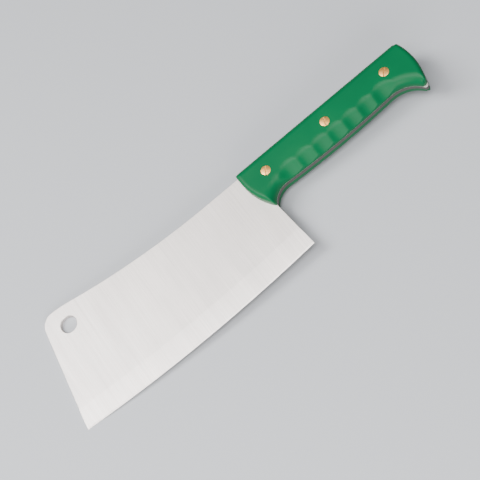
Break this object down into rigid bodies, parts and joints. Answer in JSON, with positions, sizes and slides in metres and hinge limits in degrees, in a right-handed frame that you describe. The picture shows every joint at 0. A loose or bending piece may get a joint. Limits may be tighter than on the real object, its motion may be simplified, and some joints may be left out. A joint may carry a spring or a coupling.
{
  "type": "meat cleaver",
  "caption": "Butcher's cleaver with a deep satin steel blade, a hanging hole in its front corner, and a full tang between green plastic scales, one with finger scallops.",
  "frame": {"origin": "under the middle of the side outline, on the plane of the back scale's outer face, as the cleaver lies on its side", "axes": "+X along the blade and handle towards the butt, +Y from the cutting edge towards the spine, +Z square to the blade, out of the front scale"},
  "size_m": [0.333, 0.0938, 0.021],
  "materials": {
    "blade_steel": "satin, ground across the blade",
    "scale_plastic": "moulded, soft gloss",
    "fastener_brass": "ground flush, satin"
  },
  "bodies": {
    "root": {"blade": "blade_steel", "front_scale": "scale_plastic", "back_scale": "scale_plastic", "screw_front": "fastener_brass", "nut_front": "fastener_brass", "screw_middle": "fastener_brass", "nut_middle": "fastener_brass", "screw_rear": "fastener_brass", "nut_rear": "fastener_brass"}
  },
  "joints": []
}
